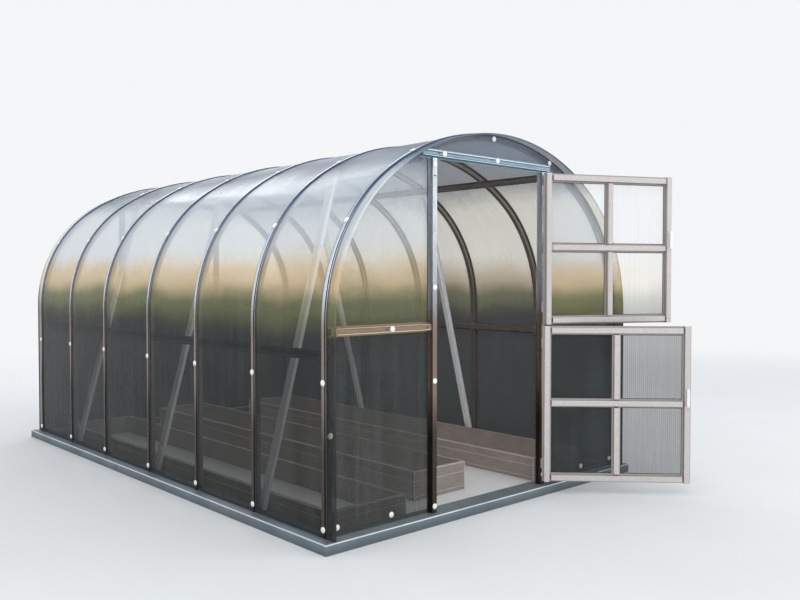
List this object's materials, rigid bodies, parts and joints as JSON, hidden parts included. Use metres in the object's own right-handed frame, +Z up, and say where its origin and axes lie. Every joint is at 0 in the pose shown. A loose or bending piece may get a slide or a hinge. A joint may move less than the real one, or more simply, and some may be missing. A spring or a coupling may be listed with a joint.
{
  "type": "arched greenhouse with a split door",
  "caption": "Walk-in arched garden greenhouse: hat-section steel arches, clear twin-wall sheets, a wide base frame and a split door that swings outward.",
  "frame": {"origin": "on the ground, on the centre line, at the middle of the front base beam's underside", "axes": "+X to the right seen from the front, +Y from the front wall to the rear, +Z up"},
  "size_m": [2.682, 4.85, 2.232],
  "materials": {
    "galvanised_steel": "galvanised sheet steel, dull silver",
    "arch_steel": "galvanised sheet steel, darker",
    "clear_sheet": "clear twin-wall plastic sheet, glossy, fluted",
    "base_beam": "grey coated base beam",
    "bed_board": "grey-brown ribbed board",
    "white_plastic": "white moulded plastic"
  },
  "bodies": {
    "root": {"plinth_front": "base_beam", "plinth_rear": "base_beam", "plinth_left": "base_beam", "plinth_right": "base_beam", "arch_1": "arch_steel", "arch_2": "arch_steel", "arch_3": "arch_steel", "arch_4": "arch_steel", "arch_5": "arch_steel", "arch_6": "arch_steel", "arch_7": "arch_steel", "cover_strips": "galvanised_steel", "roof_sheet_front": "clear_sheet", "roof_sheet_rear": "clear_sheet", "purlin_lower_left": "arch_steel", "purlin_lower_right": "arch_steel", "purlin_upper_left": "arch_steel", "purlin_upper_right": "arch_steel", "struts_left": "galvanised_steel", "struts_right": "galvanised_steel", "front_post_left": "galvanised_steel", "front_post_right": "galvanised_steel", "front_lintel": "galvanised_steel", "front_rail_left": "galvanised_steel", "front_rail_right": "galvanised_steel", "front_panel_left": "clear_sheet", "front_panel_right": "clear_sheet", "front_panel_top": "clear_sheet", "rear_post_left": "galvanised_steel", "rear_post_right": "galvanised_steel", "rear_rails": "galvanised_steel", "rear_panel": "clear_sheet", "bed_left": "bed_board", "bed_middle": "bed_board", "bed_right": "bed_board", "hinge_plates": "galvanised_steel"},
    "upper_door": {"upper_door_frame": "galvanised_steel", "upper_door_panes": "clear_sheet", "upper_door_handle": "white_plastic", "upper_door_hinges": "galvanised_steel"},
    "lower_door": {"lower_door_frame": "galvanised_steel", "lower_door_panes": "clear_sheet", "lower_door_handle": "white_plastic", "lower_door_hinges": "galvanised_steel"}
  },
  "joints": [
    {"name": "upper_door_swing", "type": "hinge", "parent": "root", "child": "upper_door", "pos_m": [0.405, -0.0305, 1.558], "axis": [0, 0, 1], "range_deg": [-154, 14]},
    {"name": "lower_door_swing", "type": "hinge", "parent": "root", "child": "lower_door", "pos_m": [0.405, -0.0305, 0.577], "axis": [0, 0, 1], "range_deg": [-134, 34]}
  ]
}
